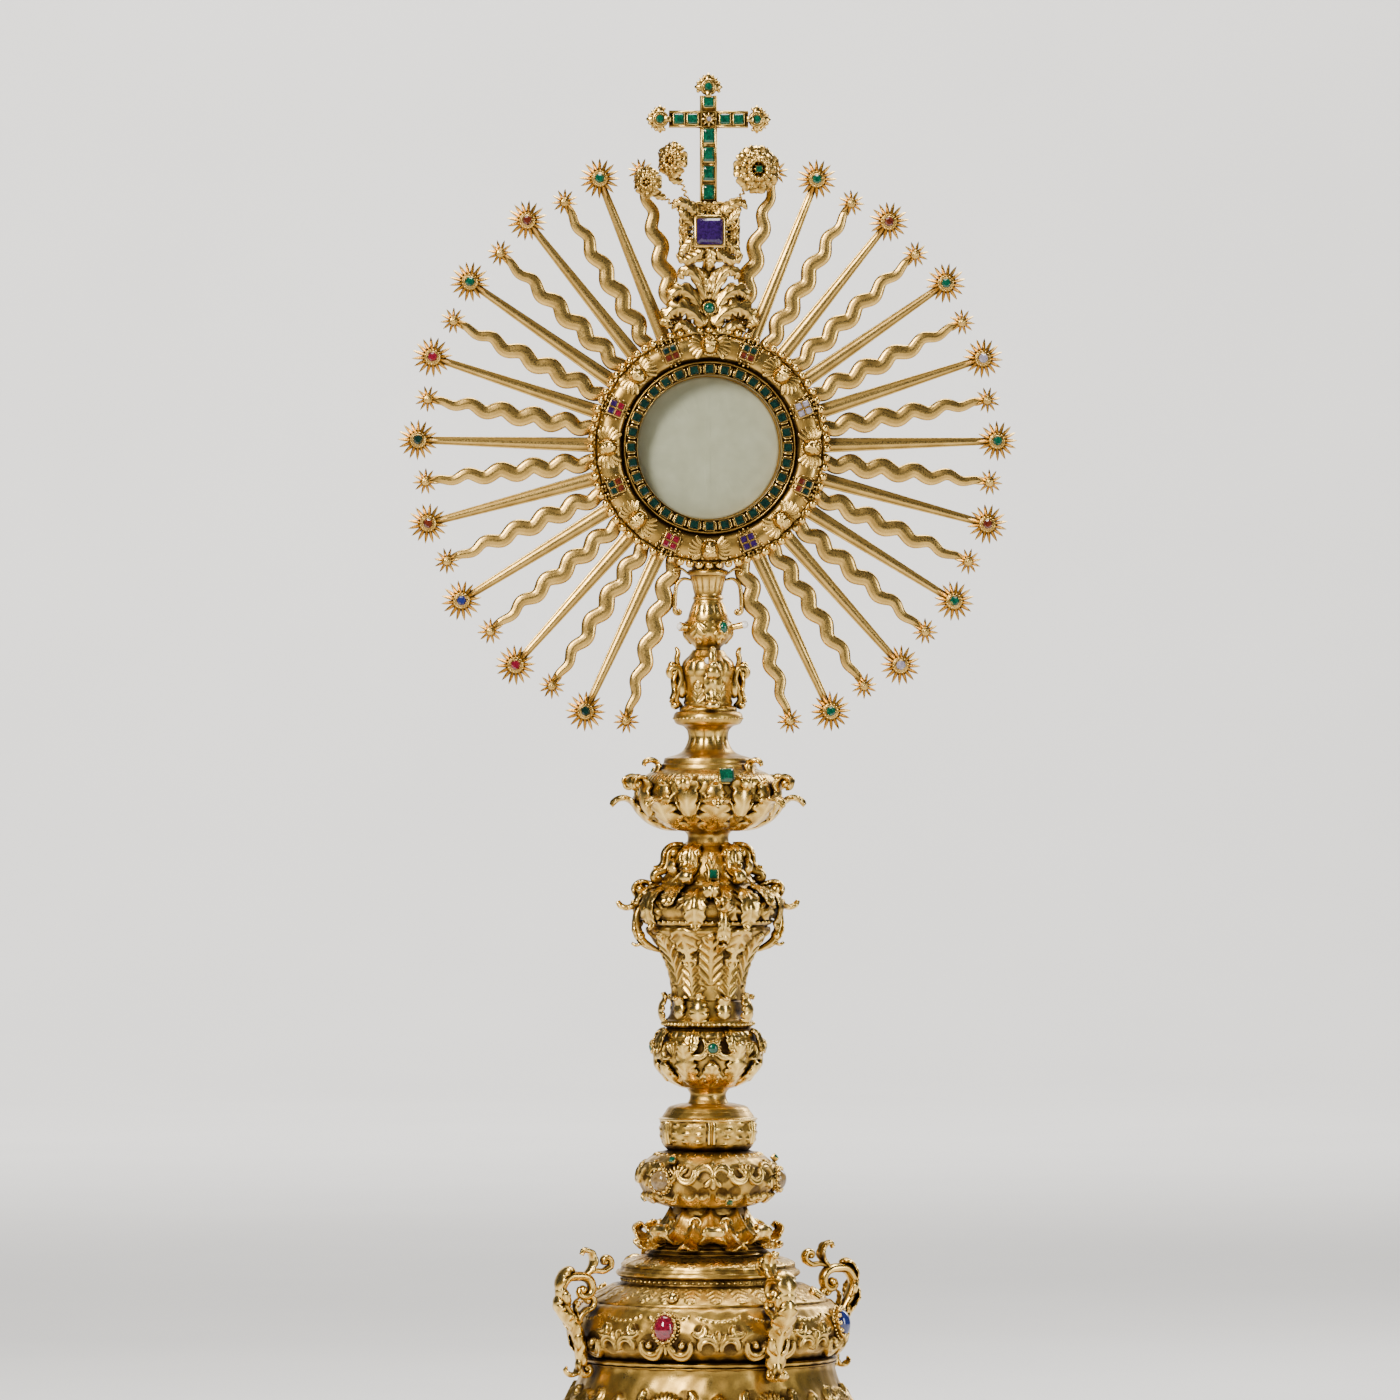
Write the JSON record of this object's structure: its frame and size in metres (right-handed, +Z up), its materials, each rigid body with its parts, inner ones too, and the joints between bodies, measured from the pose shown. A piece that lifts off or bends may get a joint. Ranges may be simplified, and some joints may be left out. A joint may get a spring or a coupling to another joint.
{
  "type": "monstrance",
  "caption": "Sunburst monstrance: a lift-off rayed glory with a glazed host chamber and rear door, on a knopped stem and a wide hollow foot.",
  "frame": {"origin": "on the floor under the middle of the foot", "axes": "+Z up, -Y towards the front where the host is seen, +X to the viewer's right"},
  "size_m": [0.323, 0.224, 0.7592],
  "materials": {
    "gilt_cast": "antique gilt casting, dark in the recesses",
    "gilt_sheet": "gilt sheet metal, worn satin",
    "gilt_rays": "gilt, brushed lengthwise",
    "emerald": "cut green stone",
    "ruby": "polished red stone",
    "quartz": "smoky polished stone",
    "amethyst": "cut violet stone",
    "pearl": "pearly",
    "clear_glass": "clear flat glass",
    "wafer": "pressed unleavened bread",
    "iron": "dull iron"
  },
  "bodies": {
    "stand": {"foot_rim": "gilt_cast", "foot_torus": "gilt_cast", "foot_shoulder": "gilt_cast", "foot_dome": "gilt_cast", "foot_scrolls": "gilt_cast", "skirt_leaves": "gilt_cast", "knop_lower": "gilt_cast", "knop_ring": "gilt_cast", "bowl_knop": "gilt_cast", "vase_collar": "gilt_cast", "vase_body": "gilt_cast", "vase_rim": "gilt_cast", "vase_scrolls": "gilt_cast", "rim_leaves": "gilt_cast", "volute_dome": "gilt_cast", "dish_knop": "gilt_cast", "dish_leaves": "gilt_cast", "neck_upper": "gilt_cast", "bracket_drum": "gilt_cast", "bracket_figures": "gilt_cast", "pear_knop": "gilt_cast", "foot_shell": "gilt_sheet", "stem_emeralds": "emerald", "foot_gems": "ruby", "knop_cabochons": "quartz", "pearls": "pearl", "tie_rod": "iron", "tie_washer": "iron", "tie_nut": "iron"},
    "glory": {"ray_ring": "gilt_sheet", "ring_front": "gilt_cast", "bead_border": "gilt_cast", "cluster_stones": "emerald", "cherub_heads": "gilt_cast", "bezel": "gilt_cast", "bezel_stones": "emerald", "front_glass": "clear_glass", "case_tube": "gilt_sheet", "rear_cover": "gilt_sheet", "cover_screws": "gilt_sheet", "hinge_pin": "gilt_sheet", "straight_rays": "gilt_rays", "wavy_rays": "gilt_rays", "large_stars": "gilt_rays", "small_stars": "gilt_rays", "star_stones": "emerald", "capital": "gilt_cast", "finial_base": "gilt_cast", "amethyst_setting": "gilt_cast", "amethyst": "amethyst", "cross": "gilt_cast", "finial_emeralds": "emerald"},
    "lunette": {"host_holder": "gilt_sheet", "host": "wafer"},
    "rear_door": {"door_frame": "gilt_sheet", "door_glass": "clear_glass"},
    "latch": {"latch_button": "gilt_sheet"},
    "blossom_left_high": {"flower_left_high": "gilt_cast"},
    "blossom_left_low": {"flower_left_low": "gilt_cast"},
    "blossom_right": {"flower_right": "gilt_cast"}
  },
  "joints": [
    {"name": "glory_lift", "type": "slide", "parent": "stand", "child": "glory", "axis": [0, 0, 1], "range_m": [0, 0.04]},
    {"name": "door_hinge", "type": "hinge", "parent": "glory", "child": "rear_door", "pos_m": [-0.0475, 0.0174, 0.565], "axis": [0, 0, 1], "range_deg": [0, 110]},
    {"name": "latch_turn", "type": "hinge", "parent": "glory", "child": "latch", "pos_m": [0.0495, 0.018, 0.565], "axis": [0, -1, 0], "range_deg": [0, 90]},
    {"name": "lunette_slide", "type": "slide", "parent": "glory", "child": "lunette", "axis": [0, 1, 0], "range_m": [0, 0.01]},
    {"name": "left_high_tremble", "type": "hinge", "parent": "glory", "child": "blossom_left_high", "pos_m": [-0.0098, -0.0106, 0.6886], "axis": [0, 1, 0], "range_deg": [-4, 4], "stiffness_Nm_per_rad": 0.4},
    {"name": "left_low_tremble", "type": "hinge", "parent": "glory", "child": "blossom_left_low", "pos_m": [-0.0126, -0.0106, 0.685], "axis": [0, 1, 0], "range_deg": [-4, 4], "stiffness_Nm_per_rad": 0.4},
    {"name": "right_tremble", "type": "hinge", "parent": "glory", "child": "blossom_right", "pos_m": [0.0114, -0.0106, 0.6866], "axis": [0, 1, 0], "range_deg": [-4, 4], "stiffness_Nm_per_rad": 0.4}
  ]
}
